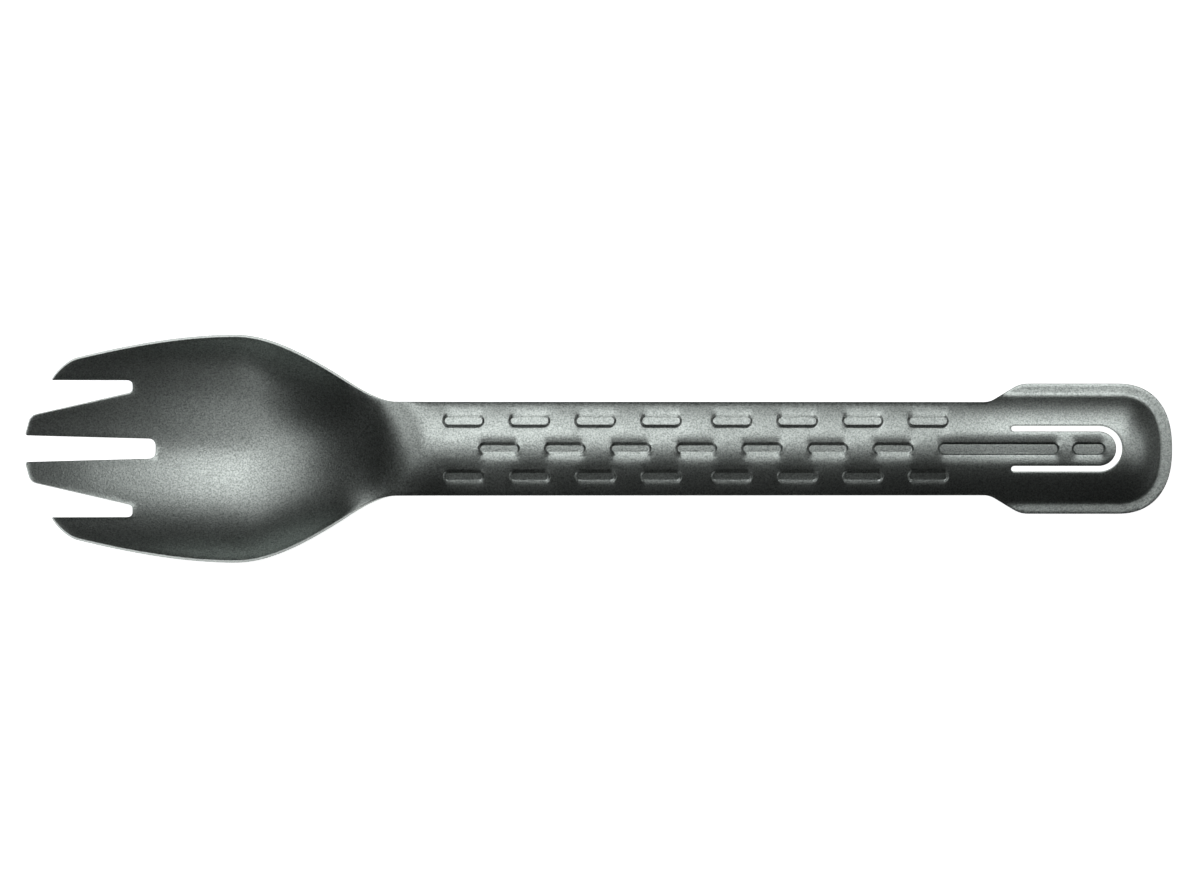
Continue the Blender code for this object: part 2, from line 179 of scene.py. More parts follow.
def with_mirror(half):
    """A half path and its mirror image, where the half ends on the plane of symmetry."""
    half = even_steps(half, EDGE_STEP)
    return np.vstack([half, half[-2::-1] * (1, -1)])


inner, outer = TONGUE_WIDTH / 2, TONGUE_WIDTH / 2 + SLOT
tongue_middle = (TONGUE_TIP_X - inner, 0)
outline = with_mirror(tines[:-1] + bowl + tail)[:-1]
tongue_tip = arc(tongue_middle, (inner, inner), 90, 0, TONGUE_STEPS)
tongue_side = with_mirror([(ROOT_X, inner), *tongue_tip])
slot_end = arc((ROOT_X, inner + SLOT / 2), (SLOT / 2, SLOT / 2), 270, 90, 2 * ARC_STEPS)
slot_side = with_mirror(slot_end + arc(tongue_middle, (outer, outer), 90, 0, SLOT_STEPS))
print(f"edges: {len(outline)} points round the blank, {len(slot_side)} along the slot")

# %% [markdown]
# ## Edges without burrs
#
# Tumbling or blasting takes the burr off a cut edge and leaves it slightly rolled. Each edge gets a
# few lines beside it, at the distances where a quarter round of that radius needs them.

# %% Draw the lines beside every cut edge
ROLL = 0.10 * MM
roll_angles = np.radians([0, 30, 60, 90])
roll_distances = ROLL * (1 - np.cos(roll_angles))


def beside(path, distance, closed):
    """The path moved to its right, with mitred corners."""
    steps = np.diff(path, axis=0, append=path[:1]) if closed else np.diff(path, axis=0)
    steps = steps / np.linalg.norm(steps, axis=1, keepdims=True)
    normals = np.stack([steps[:, 1], -steps[:, 0]], axis=1)
    if closed:
        before, after = np.roll(normals, 1, axis=0), normals
    else:
        before, after = np.vstack([normals[:1], normals]), np.vstack([normals, normals[-1:]])
    mitre = (before + after) / (1 + (before * after).sum(axis=1, keepdims=True))
    return path + distance * mitre


def closed_path(path):
    """The path with its first point once more at its end."""
    return np.vstack([path, path[:1]])


outline_lines = [closed_path(beside(outline, d, True)) for d in roll_distances]
slot_lines = [beside(slot_side, -d, False) for d in roll_distances]
tongue_lines = [beside(tongue_side, d, False) for d in roll_distances]
# Fork and tongue share a line across the root: close points at its ends, then every 0.4 mm.
root_half = [*(inner - roll_distances), *np.arange(2.6, 0.1, -0.4) * MM]
root_y = np.array([*root_half, 0, *(-y for y in reversed(root_half))])
root_line = np.stack([np.full(len(root_y), ROOT_X), root_y], axis=1)
print(f"{len(roll_distances)} lines along each edge, out to {ROLL / MM} mm")

# %% [markdown]
# ## Where the press marks go
#
# The handle has three rows of short dashes for grip, which also stiffen it. A rib runs from the
# handle onto the tongue and a short detent sits near the tongue's tip. Each mark has a flat floor
# and a crisp wall, and most walls end in a soft roll-off. The blank needs lines at those distances
# round the middle of every mark.
#
# The walls differ. They are steep at the ends of a mark and towards the middle of the handle. The
# punch comes straight down and the arched sheet slopes away from it, so the outer walls of the
# outer rows are gentle and these marks lean: they are a little deeper on their inner side.

# %% Lay out the marks
# Each wall of a mark: how far from its middle line the floor ends and the wall ends, and the share
# of the depth that is left for the roll-off.
END_WALL = (0.75 * MM, 1.14 * MM, 0.0)
SIDE_WALL = (0.62 * MM, 1.15 * MM, 0.52)
INNER_WALL = (0.67 * MM, 1.25 * MM, 0.22)
OUTER_WALL = (0.55 * MM, 1.40 * MM, 0.42)
RIB_WALL = (0.85 * MM, 1.12 * MM, 0.45)
EDGE = END_WALL[1]
SOFT = 3.0 * MM
DASH_LENGTH, DASH_PITCH, ROW_PITCH = 7.6 * MM, 11.9 * MM, 5.04 * MM
MIDDLE_COUNT, OUTER_COUNT, OUTER_ROW_OFFSET = 7, 4, 6.4 * MM
RIB_ON_TONGUE, DETENT_LENGTH, DETENT_TO_TIP = 8.2 * MM, 6.2 * MM, 1.9 * MM
DASH_DEPTH, RIB_DEPTH, DETENT_DEPTH = 0.30 * MM, 0.40 * MM, 0.40 * MM
LEAN = 0.06
MARKS_MIDDLE = BOWL_LENGTH + 54.0 * MM
dash_line = DASH_LENGTH - 2 * EDGE
rib_start = MARKS_MIDDLE + (MIDDLE_COUNT + 1) / 2 * DASH_PITCH - dash_line / 2
rib_line = ROOT_X + RIB_ON_TONGUE - EDGE - rib_start
detent_line = DETENT_LENGTH - 2 * EDGE
detent_middle = TONGUE_TIP_X - DETENT_TO_TIP - EDGE - detent_line / 2
print(f"dashes {DASH_LENGTH / MM} mm long, a rib {(rib_line + 2 * EDGE) / MM:.1f} mm long")

# %% [markdown]
# A row of marks is a list of thirteen values that the punch will take as its inputs. The outer rows
# run both ways from the middle of the handle, so each is made of two halves.

# %% Describe the rows and draw lines round the marks
# The values of a row of marks, in this order: the last six are its left and its right wall.
ROW_INPUTS = (
    "First Middle", "Pitch", "Count", "Row", "Length", "Depth", "Lean",
    "Left Floor", "Left Edge", "Left Share", "Right Floor", "Right Edge", "Right Share",
)
dash = (dash_line, DASH_DEPTH)
steps = (MARKS_MIDDLE - (MIDDLE_COUNT - 1) / 2 * DASH_PITCH, DASH_PITCH, MIDDLE_COUNT)
middle_row = (*steps, 0.0, *dash, 0.0, *SIDE_WALL, *SIDE_WALL)
outer_rows = []
for end in (-1, 1):
    steps = (MARKS_MIDDLE + end * OUTER_ROW_OFFSET, end * DASH_PITCH, OUTER_COUNT)
    outer_rows.append((*steps, ROW_PITCH, *dash, -LEAN, *OUTER_WALL, *INNER_WALL))
    outer_rows.append((*steps, -ROW_PITCH, *dash, LEAN, *INNER_WALL, *OUTER_WALL))
rib_middle = rib_start + rib_line / 2
rib = (rib_middle, 0.0, 1, 0.0, rib_line, RIB_DEPTH, 0.0, *RIB_WALL, *RIB_WALL)
detent = (detent_middle, 0.0, 1, 0.0, detent_line, DETENT_DEPTH, 0.0, *RIB_WALL, *RIB_WALL)
LINE_RADII = np.array([
    0.5, 0.6, 0.67, 0.75, 0.8, 0.88, 0.95, 1.02, 1.08, 1.14, 1.2, 1.25, 1.4, 1.6, 1.9, 2.3,
]) * MM
LINE_STEP, LINE_END_STEPS = 0.6 * MM, 14


def mark_lines(rows):
    """Closed lines round every mark of the rows, close together on the wall."""
    lines = []
    for first, pitch, count, y, length, *_ in rows:
        for i in range(count):
            start, end = first + i * pitch - length / 2, first + i * pitch + length / 2
            for radius in LINE_RADII:
                near = arc((start, y), (radius, radius), 90, 270, LINE_END_STEPS)
                far = arc((end, y), (radius, radius), -90, 90, LINE_END_STEPS)
                lines.append(even_steps(near + far + near[:1], LINE_STEP))
    return lines


fork_rows = [middle_row, *outer_rows, rib]
tongue_rows = [rib, detent]
dash_count = MIDDLE_COUNT + 4 * OUTER_COUNT
print(f"{dash_count} dashes in {1 + len(outer_rows)} rows and half rows")

# %% [markdown]
# ## Triangles for the blank
#
# A Delaunay triangulation fills the outline and keeps all drawn lines as edges. Loose points in
# staggered rows keep the triangles even. They lie closer together in the tail, where the sheet
# turns more sharply.

# %% Say how a blank is filled
BRIM_WIDTH = 2.1 * MM
BRIM_FOOT = TAIL_WIDTH / 2 - BRIM_WIDTH
TAIL_STRETCH = BRIM_FOOT / (TAIL_ROUND - BRIM_WIDTH)
BOWL_STEP, HANDLE_STEP, TAIL_STEP = 0.7 * MM, 0.8 * MM, 0.45 * MM
HANDLE_FILL_X, TAIL_FILL_X = BOWL_LENGTH + 7 * MM, SHOULDER_X - 8 * MM
WELD = 0.001 * MM
# Shares of a step: between two staggered rows, and kept clear round the drawn points.
ROW_SPACING, CLEARANCE = 0.866, 0.65


def surrounded(points, loop):
    """For each point, True if the closed path runs round it."""
    x, y = points.T
    result = np.zeros(len(points), bool)
    for (ax, ay), (bx, by) in zip(loop, loop[1:]):
        if ay != by:
            result ^= ((ay > y) != (by > y)) & (x < ax + (y - ay) * (bx - ax) / (by - ay))
    return result


def loose_points(start, end, half_width, step, drawn):
    """Staggered points over a stretch of the blank that keep clear of the drawn ones."""
    tree = kdtree.KDTree(len(drawn))
    for i, place in enumerate(drawn):
        tree.insert((*place, 0), i)
    tree.balance()
    points = []
    for row, x in enumerate(np.arange(start, end, step * ROW_SPACING)):
        for y in np.arange(-half_width + 0.5 * step * (row % 2), half_width, step):
            if tree.find((x, y, 0))[2] > CLEARANCE * step:
                points.append((x, y))
    return points


def fill_blank(edge_lines, other_lines, loop, hole, stretches):
    """Points, triangles and each point's distance from the cut edge, up to the roll's radius."""
    places, links, distances = [], [], []
    for line, distance in edge_lines + [(line, ROLL) for line in other_lines]:
        links += [(len(places) + i, len(places) + i + 1) for i in range(len(line) - 1)]
        places += [tuple(place) for place in line]
        distances += [distance] * len(line)
    drawn = list(places)
    for stretch_of_points in stretches:
        places += loose_points(*stretch_of_points, drawn)
    distances += [ROLL] * (len(places) - len(distances))
    made = delaunay_2d_cdt([Vector(place) for place in places], links, [], 0, WELD)
    points, faces = np.array([tuple(point) for point in made[0]]), np.array(made[2])
    depth = np.array([min((distances[i] for i in origin), default=ROLL) for origin in made[3]])
    middles = points[faces].mean(axis=1)
    kept = surrounded(middles, loop)
    if hole is not None:
        kept &= ~surrounded(middles, hole)
    used, faces = np.unique(faces[kept], return_inverse=True)
    return points[used], faces.reshape(-1, 3), depth[used]


print(f"loose points every {TAIL_STEP / MM} to {HANDLE_STEP / MM} mm")

# %% [markdown]
# The fork's blank has the slot as a hole, and the tongue's blank fits inside that slot. Both share
# the line across the root, so no gap shows there.

# %% Fill the blanks of fork and tongue
BRIM_STEPS = 40


def brim_line(reach):
    """A line of equal height round the tail."""
    radii = (reach / TAIL_STRETCH, reach)
    end = arc((ROUND_X, 0), radii, 90, 0, BRIM_STEPS, TAIL_FULLNESS)
    return with_mirror([(TAIL_X, reach), *end])


fork_edges = [*zip(outline_lines, roll_distances), *zip(slot_lines, roll_distances)]
# The sheet turns sharply at the foot of the brim, so the lines there are 0.15 mm apart.
brim_lines = [brim_line(BRIM_FOOT + offset * MM) for offset in np.arange(-0.9, 0.45, 0.15)]
fork_blank = fill_blank(
    fork_edges,
    mark_lines(fork_rows) + brim_lines + [root_line],
    outline_lines[0],
    closed_path(slot_side),
    [
        (0, HANDLE_FILL_X, BOWL_WIDTH / 2, BOWL_STEP),
        (HANDLE_FILL_X, TAIL_FILL_X, HANDLE_WIDTH / 2, HANDLE_STEP),
        (TAIL_FILL_X, END_X, TAIL_WIDTH / 2, TAIL_STEP),
    ],
)
tongue_blank = fill_blank(
    list(zip(tongue_lines, roll_distances)),
    mark_lines(tongue_rows) + [root_line],
    closed_path(tongue_side),
    None,
    [(ROOT_X, TONGUE_TIP_X, TONGUE_WIDTH / 2, TAIL_STEP)],
)
print(f"blank: {len(fork_blank[1])} triangles, tongue: {len(tongue_blank[1])}")

# %% [markdown]
# ## The press
#
# A pair of dies presses bowl, neck and handle in one stroke. Along the middle the line goes down
# into the bowl, up the neck and slowly down the handle, and its slope changes evenly between
# stations. Across, the sheet is hollow in the bowl and arched in the handle. The tail is an arch
# that closes round its end and runs out into a brim. The brim looks flat, and rises at only half a
# degree from its edge to its foot.

# %% The form of the dies
BOWL_DEEPEST, BOWL_RADIUS, HANDLE_RADIUS = 39.0 * MM, 27.0 * MM, 23.0 * MM
HEEL_START, HEEL_RADIUS = 57.0 * MM, 20.0 * MM
NECK_RISE, TINE_RISE, TAIL_RISE = 11.5 * MM, 8.0 * MM, 2.4 * MM
BEND, TAIL_EASE = 12.0 * MM, 14.0 * MM
BRIM_FILLET, BRIM_TILT, ARCH_FULLNESS = 0.30 * MM, 0.010, 2.35
neck_x, ramp_x = BOWL_LENGTH + 6.5 * MM, BOWL_LENGTH - 3.7 * MM
fall = (TAIL_RISE - NECK_RISE) / (SHOULDER_X - neck_x)
ramp = (2 * NECK_RISE - fall * (neck_x - ramp_x)) / (neck_x - BOWL_DEEPEST)
bend_start, bend_end = SHOULDER_X - BEND / 2, SHOULDER_X + BEND / 2
slope_x = np.array([0, BOWL_DEEPEST, ramp_x, neck_x, bend_start, bend_end, END_X])
slopes = np.array([-2 * TINE_RISE / BOWL_DEEPEST, 0, ramp, fall, fall, 0, 0])
rises = np.concatenate([[0], np.cumsum(np.diff(slope_x) * (slopes[1:] + slopes[:-1]) / 2)])


def ease(start, end, x):
    """Rises smoothly from 0 to 1 between two places."""
    share = np.clip((x - start) / (end - start), 0, 1)
    return share * share * (3 - 2 * share)


def crest(x):
    """Height of the sheet's upper face along the middle."""
    i = np.clip(np.searchsorted(slope_x, x, side="right") - 1, 0, len(slope_x) - 2)
    along = x - slope_x[i]
    bend = (slopes[i + 1] - slopes[i]) / (slope_x[i + 1] - slope_x[i])
    return SHEET + TINE_RISE + rises[i] + slopes[i] * along + bend * along**2 / 2


def form(x, y):
    """Height of the upper face, without the marks."""
    heel = 1 / HEEL_RADIUS - 1 / BOWL_RADIUS
    hollow = 1 / BOWL_RADIUS + ease(BOWL_WIDEST, HEEL_START, x) * heel
    curvature = hollow + ease(HEEL_START, neck_x, x) * (-1 / HANDLE_RADIUS - hollow)
    ridge = crest(x)
    cosine = np.sqrt(np.maximum(1 - (curvature * y) ** 2, 0))
    open_part = ridge + curvature * y**2 / (1 + cosine)
    past_round = np.maximum(x - ROUND_X, 0) * TAIL_STRETCH
    reach = (past_round**TAIL_FULLNESS + np.abs(y) ** TAIL_FULLNESS) ** (1 / TAIL_FULLNESS)
    arch = ridge - TAIL_RISE * (reach / BRIM_FOOT) ** ARCH_FULLNESS
    brim = SHEET + BRIM_TILT * (TAIL_WIDTH / 2 - reach)
    overlap = np.maximum(BRIM_FILLET - np.abs(arch - brim), 0)
    closed_part = np.maximum(arch, brim) + overlap**2 / (4 * BRIM_FILLET)
    return open_part + ease(SHOULDER_X - TAIL_EASE, SHOULDER_X, x) * (closed_part - open_part)


heights = crest(np.array([0, BOWL_DEEPEST, neck_x, END_X])) / MM
print(f"crest: {heights} mm at tips, bowl, neck and tail")

# %% [markdown]
# ## From blank to solid sheet
#
# The upper face takes the form of the die. The lower face lies one sheet thickness below it,
# measured square to the sheet. Near a cut edge both faces turn in towards the middle of the sheet,
# and that makes the rolled edge. The bowl's rim is trimmed after the pressing by a tool that comes
# down from above. Its cut stands more upright than square to the sheet, so the upper face reaches a
# little further out there. One value stays on every point for the punch: whether it is on the
# underside.

# %% Build the two solids
# The share of the way from a cut square to the sheet to an upright one.
RIM_UPRIGHT = 0.40
SLOPE_NUDGE, SHARP_ANGLE = 0.02 * MM, math.radians(50)
origin_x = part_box("fork_body")[1].x - END_X


def solid_sheet(name, blank):
    """The pressed sheet with its thickness, as an object."""
    points, faces, edge_distance = blank
    x, y = points.T
    nudge = SLOPE_NUDGE
    slope_along = (form(x + nudge, y) - form(x - nudge, y)) / (2 * nudge)
    slope_across = (form(x, y + nudge) - form(x, y - nudge)) / (2 * nudge)
    normal = np.stack([-slope_along, -slope_across, np.ones_like(x)], axis=1)
    normal /= np.linalg.norm(normal, axis=1, keepdims=True)
    middle = np.stack([x + origin_x, y, form(x, y)], axis=1) - normal * SHEET / 2
    half = SHEET / 2 - ROLL + np.sqrt(np.maximum(ROLL**2 - (ROLL - edge_distance) ** 2, 0))
    top, under = middle + normal * half[:, None], middle - normal * half[:, None]
    upright = RIM_UPRIGHT * (1 - ease(HEEL_START, BOWL_LENGTH, x))
    shift_x, shift_y = ((under - top)[:, :2] * upright[:, None]).T
    flat_x, flat_y = top[:, 0] - origin_x, top[:, 1]
    rise = form(flat_x + shift_x, flat_y + shift_y) - form(flat_x, flat_y)
    top += np.stack([shift_x, shift_y, rise], axis=1)
    count = len(points)
    sides = np.concatenate([faces[:, [0, 1]], faces[:, [1, 2]], faces[:, [2, 0]]])
    twins = set(map(tuple, sides[:, ::-1].tolist()))
    border = [(a, b) for a, b in sides.tolist() if (a, b) not in twins]
    walls = [(a, a + count, b + count, b) for a, b in border]
    mesh = bpy.data.meshes.new(name)
    solid_faces = [*faces.tolist(), *(faces[:, ::-1] + count).tolist(), *walls]
    mesh.from_pydata(np.vstack([top, under]).tolist(), [], solid_faces)
    mesh.shade_smooth()
    mesh.set_sharp_from_angle(angle=SHARP_ANGLE)
    below = mesh.attributes.new("underside", "FLOAT", "POINT")
    below.data.foreach_set("value", np.repeat([0.0, 1.0], count))
    piece = bpy.data.objects.new(name, mesh)
    bpy.context.scene.collection.objects.link(piece)
    return piece


fork_skin = solid_sheet("fork_skin", fork_blank)
tongue_skin = solid_sheet("tongue_skin", tongue_blank)
for skin in (fork_skin, tongue_skin):
    print(f"{skin.name}: {len(skin.data.polygons)} faces")

# %% [markdown]
# ## The metal
#
# Bead blasting leaves fine, even pits, and the anodising on top is dark grey with a very slight
# green cast. The eye sees a satin sheen that spreads the light softly, with a fine sparkle that is
# painted into the colour.

# %% Make the material


def linear(hex_colour):
    """An sRGB colour such as 7c817f as linear RGBA."""
    parts = [int(hex_colour[i:i + 2], 16) / 255 for i in (0, 2, 4)]
    return (*(p / 12.92 if p <= 0.04045 else ((p + 0.055) / 1.055) ** 2.4 for p in parts), 1)


def add_node(tree, kind, inputs, **settings):
    """Adds a node with its settings. An input is a value, or the socket that feeds it."""
    node = tree.nodes.new(kind)
    for name, value in settings.items():
        setattr(node, name, value)
    for name, value in inputs.items():
        if isinstance(value, bpy.types.NodeSocket):
            tree.links.new(value, node.inputs[name])
        else:
            node.inputs[name].default_value = value
    return node


metal = bpy.data.materials.new("bead-blasted hard-anodised aluminium")
metal.use_nodes = True
tree = metal.node_tree
shader = tree.nodes["Principled BSDF"]
place = add_node(tree, "ShaderNodeTexCoord", {}).outputs["Object"]
# The pits of the blast are about 0.1 mm wide. They are drawn three times as wide, to show.
grain = add_node(
    tree, "ShaderNodeTexNoise",
    {"Vector": place, "Scale": 1 / (0.3 * MM), "Detail": 2.0, "Roughness": 0.6},
).outputs["Fac"]
# Slow changes of the blast over about a centimetre.
cloud = add_node(
    tree, "ShaderNodeTexNoise", {"Vector": place, "Scale": 1 / (12 * MM), "Detail": 2.0}
).outputs["Fac"]
bump = add_node(
    tree, "ShaderNodeBump", {"Height": grain, "Strength": 0.25, "Distance": 0.1 * MM}
)
# Noise stays mostly between these two values.
noise_range = {"From Min": 0.3, "From Max": 0.7}
# The satin sheen, a little duller where the blast was heavier.
sheen = add_node(
    tree, "ShaderNodeMapRange", {"Value": cloud, **noise_range, "To Min": 0.31, "To Max": 0.35}
)
# Painted sparkle: painted shade makes the pits dark grey, and painted glints make the metal between
# them pale grey.
painted_sparkle = add_node(tree, "ShaderNodeMapRange", {"Value": grain, **noise_range}).outputs["Result"]
colour = add_node(
    tree, "ShaderNodeMix", {0: painted_sparkle, 6: linear("7b817e"), 7: linear("b5bbb8")},
    data_type="RGBA",
)
tree.links.new(colour.outputs[2], shader.inputs["Base Color"])
tree.links.new(sheen.outputs["Result"], shader.inputs["Roughness"])
tree.links.new(bump.outputs["Normal"], shader.inputs["Normal"])
shader.inputs["Metallic"].default_value = 1.0
print("material:", metal.name)

# %% [markdown]
# ## Striking the marks
#
# A row of punches strikes each row of dashes at once, so one node tree stands for the punch: it
# repeats a centre line along the row and pushes every point of the sheet down by an amount that
# depends on its distance from the nearest line. On the upper face the wall is crisp. On the
# underside the sheet shows a rounder bump.

# %% Give the punch its inputs and its lines
punch = bpy.data.node_groups.new("punch_row", "GeometryNodeTree")
punch.interface.new_socket("Geometry", in_out="INPUT", socket_type="NodeSocketGeometry")
punch.interface.new_socket("Geometry", in_out="OUTPUT", socket_type="NodeSocketGeometry")
for name in ROW_INPUTS:
    kind = "NodeSocketInt" if name == "Count" else "NodeSocketFloat"
    punch.interface.new_socket(name, in_out="INPUT", socket_type=kind)
size = add_node(punch, "NodeGroupInput", {}).outputs


def punch_math(operation, *values):
    """A sum in the punch, as the socket that gives its result."""
    inputs = dict(enumerate(values))
    return add_node(punch, "ShaderNodeMath", inputs, operation=operation).outputs[0]


first = add_node(punch, "ShaderNodeCombineXYZ", {"X": size["First Middle"], "Y": size["Row"]})
pitch = add_node(punch, "ShaderNodeCombineXYZ", {"X": size["Pitch"]})
row = add_node(
    punch, "GeometryNodeMeshLine",
    {"Count": size["Count"], "Start Location": first.outputs[0], "Offset": pitch.outputs[0]},
)
length = add_node(punch, "ShaderNodeCombineXYZ", {"X": size["Length"]})
start = add_node(
    punch, "ShaderNodeVectorMath", {0: length.outputs[0], "Scale": -0.5}, operation="SCALE"
)
centre_line = add_node(
    punch, "GeometryNodeMeshLine",
    {"Count": 2, "Start Location": start.outputs[0], "Offset": length.outputs[0]},
)
lines = add_node(
    punch, "GeometryNodeInstanceOnPoints",
    {"Points": row.outputs[0], "Instance": centre_line.outputs[0]},
)
lines = add_node(punch, "GeometryNodeRealizeInstances", {0: lines.outputs[0]})
print(f"punch_row: {len(ROW_INPUTS)} inputs")

# %% [markdown]
# The wall is steep at the ends of a mark, and each side has a wall of its own. The share of the
# distance that points sideways tells a point which of them it is on.

# %% Give the punch its walls
place = add_node(punch, "GeometryNodeInputPosition", {})
flat = add_node(
    punch, "ShaderNodeVectorMath", {0: place.outputs[0], 1: (1, 1, 0)}, operation="MULTIPLY"
)
distance = add_node(
    punch, "GeometryNodeProximity", {0: lines.outputs[0], "Sample Position": flat.outputs[0]},
    target_element="EDGES",
).outputs["Distance"]
across = add_node(punch, "ShaderNodeSeparateXYZ", {0: place.outputs[0]}).outputs["Y"]
across = punch_math("SUBTRACT", across, size["Row"])
on_left = punch_math("GREATER_THAN", across, 0.0)
sideways = punch_math("DIVIDE", punch_math("ABSOLUTE", across), distance)
# The fourth power carries the steep wall round the whole end of a mark.
sideways = punch_math("POWER", sideways, 4.0)
wall_sizes = []
for name, at_end in zip(("Floor", "Edge", "Share"), END_WALL):
    at_side = add_node(
        punch, "ShaderNodeMapRange",
        {"Value": on_left, "To Min": size["Right " + name], "To Max": size["Left " + name]},
    )
    blend = {"Value": sideways, "To Min": at_end, "To Max": at_side.outputs[0]}
    wall_sizes.append(add_node(punch, "ShaderNodeMapRange", blend).outputs[0])
floor_edge, wall_edge, soft_share = wall_sizes
crisp_share = punch_math("SUBTRACT", 1.0, soft_share)
wall = add_node(
    punch, "ShaderNodeMapRange",
    {"Value": distance, "From Min": floor_edge, "From Max": wall_edge,
     "To Min": crisp_share, "To Max": 0.0},
)
roll_off = add_node(
    punch, "ShaderNodeMapRange",
    {"Value": distance, "From Min": wall_edge, "From Max": SOFT, "To Min": 1.0, "To Max": 0.0},
)
# This power lets the roll-off run out level.
roll_off = punch_math("POWER", roll_off.outputs[0], 1.5)
crisp = punch_math("MULTIPLY_ADD", roll_off, soft_share, wall.outputs[0])
bulge = add_node(
    punch, "ShaderNodeMapRange",
    {"Value": distance, "From Min": 0.0, "From Max": SOFT, "To Min": 1.0, "To Max": 0.0},
    interpolation_type="SMOOTHSTEP",
)
print(f"walls: {len(punch.nodes)} nodes so far")

# %% [markdown]
# The stroke goes straight down. Where a row leans, the depth grows from one side of it to the
# other.

# %% Let the punch strike
below = add_node(
    punch, "GeometryNodeInputNamedAttribute", {"Name": "underside"}, data_type="FLOAT"
)
share = add_node(
    punch, "ShaderNodeMix", {0: below.outputs[0], 2: crisp, 3: bulge.outputs[0]},
    data_type="FLOAT",
)
leaning_depth = punch_math("MULTIPLY_ADD", across, size["Lean"], size["Depth"])
stroke_depth = punch_math("MULTIPLY", share.outputs[0], leaning_depth)
offset = add_node(punch, "ShaderNodeCombineXYZ", {"Z": punch_math("MULTIPLY", stroke_depth, -1.0)})
pressed = add_node(
    punch, "GeometryNodeSetPosition", {"Geometry": size["Geometry"], "Offset": offset.outputs[0]}
)
whole = add_node(punch, "GeometryNodeRealizeInstances", {0: pressed.outputs[0]})
painted = add_node(
    punch, "GeometryNodeSetMaterial", {"Geometry": whole.outputs[0], "Material": metal}
)
add_node(punch, "NodeGroupOutput", {0: painted.outputs[0]})
print(f"punch_row: {len(punch.nodes)} nodes")

# %% [markdown]
# ## One stroke for each row
#
# The same punch strikes the middle row, the four halves of the outer rows, the rib and the detent.
# Only its inputs change. The rib crosses the root of the tongue, so both pieces get that stroke and
# stay flush there.

# %% Strike the rows
items = punch.interface.items_tree
sockets = {item.name: item.identifier for item in items if item.in_out == "INPUT"}


def strike(piece, rows):
    """Presses the rows into a piece and leaves it a plain mesh."""
    for row in rows:
        stroke = piece.modifiers.new("stroke", "NODES")
        stroke.node_group = punch
        for name, value in zip(ROW_INPUTS, row):
            stroke[sockets[name]] = value
        stroke[sockets["First Middle"]] = row[0] + origin_x
    shape = piece.evaluated_get(bpy.context.evaluated_depsgraph_get())
    mesh = bpy.data.meshes.new_from_object(shape)
    piece.modifiers.clear()
    piece.data = mesh
    mesh.name = piece.name


strike(fork_skin, fork_rows)
strike(tongue_skin, tongue_rows)
print(f"struck {len(fork_rows)} rows on the fork and {len(tongue_rows)} on the tongue")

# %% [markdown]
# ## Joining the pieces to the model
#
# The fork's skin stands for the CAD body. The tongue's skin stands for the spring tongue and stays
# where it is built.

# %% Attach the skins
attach(fork_skin, "fork")
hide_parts("fork_body")
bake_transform(tongue_skin)
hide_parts("spring_tongue")
print("fork_skin stands for fork_body, tongue_skin for spring_tongue")

# %% [markdown]
# ## The table
#
# The photograph has a white ground. The floor shines nearly white to the camera and in the metal's
# reflections. Its own pale colour under the lamps makes up the rest, and that share keeps the
# shadow under the fork.

# %% Lay the floor
# The floor lies a hair below the fork, so that their faces don't meet.
FLOOR_HALF, FLOOR_DROP, FLOOR_GLOW = 3.0, 0.05 * MM, 0.9


def rectangle(x_range, y_range):
    """The four corners of a rectangle, anticlockwise."""
    (left, right), (front, back) = x_range, y_range
    return [(left, front), (right, front), (right, back), (left, back)]


def level_sheet(name, height, corners, material):
    """A flat sheet at one height, linked to the scene."""
    mesh = bpy.data.meshes.new(name)
    mesh.from_pydata([(x, y, height) for x, y in corners], [], [range(len(corners))])
    mesh.materials.append(material)
    sheet = bpy.data.objects.new(name, mesh)
    bpy.context.scene.collection.objects.link(sheet)
    return sheet


# White paper gives the eye an even ground without a sheen.
paper = bpy.data.materials.new("white paper")
paper.use_nodes = True
tree = paper.node_tree
shader = tree.nodes["Principled BSDF"]
shader.inputs["Base Color"].default_value = linear("f4f4f4")
shader.inputs["Roughness"].default_value = 0.9
shader.inputs["Specular IOR Level"].default_value = 0.0
ray = add_node(tree, "ShaderNodeLightPath", {})
seen = ray.outputs["Is Camera Ray"]
for kind in ("Is Glossy Ray", "Is Transmission Ray"):
    either = {0: seen, 1: ray.outputs[kind]}
    seen = add_node(tree, "ShaderNodeMath", either, operation="MAXIMUM").outputs[0]
glow = add_node(tree, "ShaderNodeMath", {0: seen, 1: FLOOR_GLOW}, operation="MULTIPLY")
shader.inputs["Emission Color"].default_value = (1, 1, 1, 1)
tree.links.new(glow.outputs[0], shader.inputs["Emission Strength"])
floor_side = (-FLOOR_HALF, FLOOR_HALF)
floor = level_sheet("floor", -FLOOR_DROP, rectangle(floor_side, floor_side), paper)
print(f"floor: {2 * FLOOR_HALF:.0f} m square, {paper.name}")

# %% [markdown]
# ## Light
#
# The main soft box hangs above the fork and reaches far behind it, and its far half is dimmer.
# Panels round the bowl and the neck fill the hollow of the bowl, and one past the tail lights its
# end. A white card behind the bowl draws a pale line along its rim.

# %% Hang the light


def soft_box(name, x_range, y_range, height, brightness):
    """A level panel of light above the fork that the camera doesn't see."""
    lamp = bpy.data.lights.new(name, "AREA")
    lamp.shape = "RECTANGLE"
    lamp.size, lamp.size_y = x_range[1] - x_range[0], y_range[1] - y_range[0]
    lamp.energy = brightness * math.pi * lamp.size * lamp.size_y
    light = bpy.data.objects.new(name, lamp)
    light.location = (sum(x_range) / 2, sum(y_range) / 2, height)
    light.visible_camera = False
    bpy.context.scene.collection.objects.link(light)
    return light


